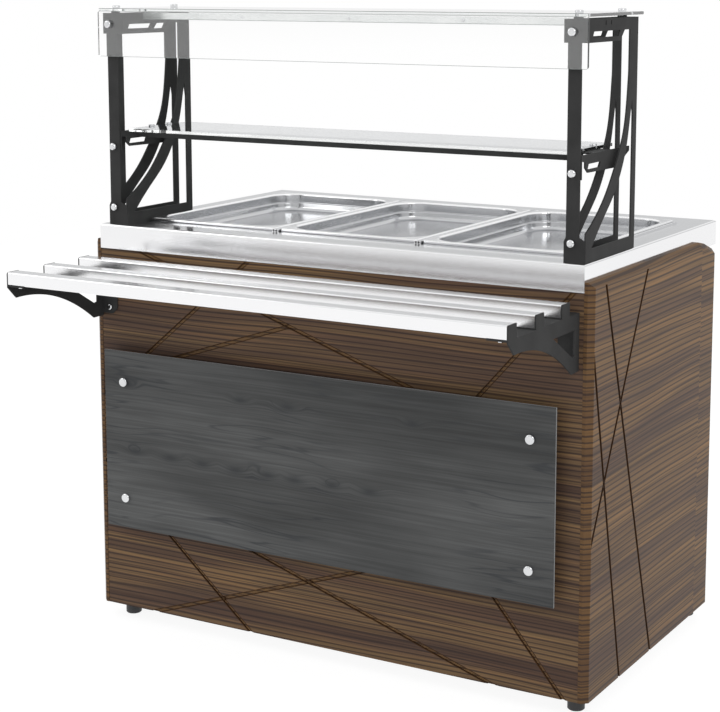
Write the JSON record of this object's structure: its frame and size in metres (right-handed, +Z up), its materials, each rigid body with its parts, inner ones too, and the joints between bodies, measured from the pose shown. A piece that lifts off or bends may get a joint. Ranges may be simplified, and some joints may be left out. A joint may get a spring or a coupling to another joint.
{
  "type": "bain marie serving counter",
  "caption": "Heated serving counter with drop-in pans over a water bath, glass gantry on cut end frames, tray slide rails and grooved wood-look cladding.",
  "frame": {"origin": "on the floor under the centre of the whole footprint, tray slide included", "axes": "+Z up, +X to the right as the customer sees it, +Y from the customer to the operator side"},
  "size_m": [1.156, 1.002, 1.336],
  "materials": {
    "galvanised_tube": "matt grey zinc",
    "black_plastic": "satin black",
    "foot_plastic": "matt black",
    "wood_laminate": "striped grey-brown laminate with a low sheen",
    "plain_board": "raw board",
    "stainless_inner": "satin",
    "stainless_top": "brushed along the length",
    "stainless_pan": "bright satin",
    "stainless_tube": "brushed along the length",
    "accent_grey": "satin dark grey",
    "chrome_parts": "polished",
    "element_sheath": "dull sheath",
    "brass_parts": "turned",
    "lever_red": "red coating",
    "black_frame": "fine dark powder coat",
    "clear_glass": "clear, green at the edges",
    "soft_pads": "soft black",
    "channel_white": "satin pale coating",
    "lamp_white": "white",
    "diffuser_white": "frosted white",
    "rocker_red": "glossy red",
    "rocker_green": "glossy green",
    "lamp_lens": "amber lens"
  },
  "bodies": {
    "counter": {"tube_frame": "galvanised_tube", "post_plugs": "black_plastic", "front_board": "wood_laminate", "side_board_left": "wood_laminate", "side_board_right": "wood_laminate", "battens": "plain_board", "bay_shelf": "stainless_inner", "bay_liners": "stainless_inner", "accent_panel": "accent_grey", "panel_spacers": "chrome_parts", "panel_caps": "chrome_parts", "worktop": "stainless_top", "divider_left": "stainless_top", "divider_right": "stainless_top", "edge_strip": "stainless_top", "water_bath": "stainless_inner", "heating_element": "element_sheath", "element_flange": "brass_parts", "element_supports": "stainless_inner", "false_bottom": "stainless_inner", "drain_pipe": "stainless_inner", "valve_body": "brass_parts", "tray_bracket_left": "black_frame", "tray_bracket_right": "black_frame", "tray_rail_front": "stainless_tube", "tray_rail_middle": "stainless_tube", "tray_rail_back": "stainless_tube", "tray_screws": "chrome_parts", "end_frame_left": "black_frame", "end_frame_right": "black_frame", "frame_bolts": "chrome_parts", "roof_glass": "clear_glass", "visor_glass": "clear_glass", "shelf_glass": "clear_glass", "shelf_arm_left": "black_frame", "shelf_arm_right": "black_frame", "shelf_rail": "black_frame", "glass_buttons": "chrome_parts", "glass_pads": "soft_pads", "light_channel": "channel_white", "light_strip": "lamp_white", "diffuser": "diffuser_white", "control_fascia": "stainless_top", "small_screws": "chrome_parts", "thermostat_body": "black_plastic", "switch_housings": "black_plastic", "pilot_lamps": "lamp_lens", "cable_gland": "black_plastic", "earth_bolt": "brass_parts"},
    "foot_front_left": {"foot_front_left": "foot_plastic"},
    "foot_back_left": {"foot_back_left": "foot_plastic"},
    "foot_front_right": {"foot_front_right": "foot_plastic"},
    "foot_back_right": {"foot_back_right": "foot_plastic"},
    "pan_left": {"pan_left": "stainless_pan"},
    "pan_middle": {"pan_middle": "stainless_pan"},
    "pan_right": {"pan_right": "stainless_pan"},
    "valve_lever": {"valve_lever": "lever_red"},
    "thermostat_knob": {"thermostat_knob": "black_plastic"},
    "rocker_heat": {"rocker_heat": "rocker_red"},
    "rocker_light": {"rocker_light": "rocker_green"}
  },
  "joints": [
    {"name": "foot_front_left_screw", "type": "hinge", "parent": "counter", "child": "foot_front_left", "pos_m": [-0.534, -0.15, 0], "axis": [0, 0, -1], "range_deg": [0, 3600]},
    {"name": "foot_back_left_screw", "type": "hinge", "parent": "counter", "child": "foot_back_left", "pos_m": [-0.534, 0.446, 0], "axis": [0, 0, -1], "range_deg": [0, 3600]},
    {"name": "foot_front_right_screw", "type": "hinge", "parent": "counter", "child": "foot_front_right", "pos_m": [0.534, -0.15, 0], "axis": [0, 0, -1], "range_deg": [0, 3600]},
    {"name": "foot_back_right_screw", "type": "hinge", "parent": "counter", "child": "foot_back_right", "pos_m": [0.534, 0.446, 0], "axis": [0, 0, -1], "range_deg": [0, 3600]},
    {"name": "pan_left_lift", "type": "slide", "parent": "counter", "child": "pan_left", "axis": [0, 0, 1], "range_m": [0, 0.12]},
    {"name": "pan_middle_lift", "type": "slide", "parent": "counter", "child": "pan_middle", "axis": [0, 0, 1], "range_m": [0, 0.12]},
    {"name": "pan_right_lift", "type": "slide", "parent": "counter", "child": "pan_right", "axis": [0, 0, 1], "range_m": [0, 0.12]},
    {"name": "valve_turn", "type": "hinge", "parent": "counter", "child": "valve_lever", "pos_m": [0.399, 0.3455, 0.611], "axis": [0, -1, 0], "range_deg": [0, 90]},
    {"name": "knob_turn", "type": "hinge", "parent": "counter", "child": "thermostat_knob", "pos_m": [0, 0.4675, 0.756], "axis": [0, -1, 0], "range_deg": [0, 270]},
    {"name": "rocker_heat_tilt", "type": "hinge", "parent": "counter", "child": "rocker_heat", "pos_m": [-0.12, 0.4645, 0.756], "axis": [-1, 0, 0], "range_deg": [0, 16]},
    {"name": "rocker_light_tilt", "type": "hinge", "parent": "counter", "child": "rocker_light", "pos_m": [-0.18, 0.4645, 0.756], "axis": [-1, 0, 0], "range_deg": [0, 16]}
  ]
}
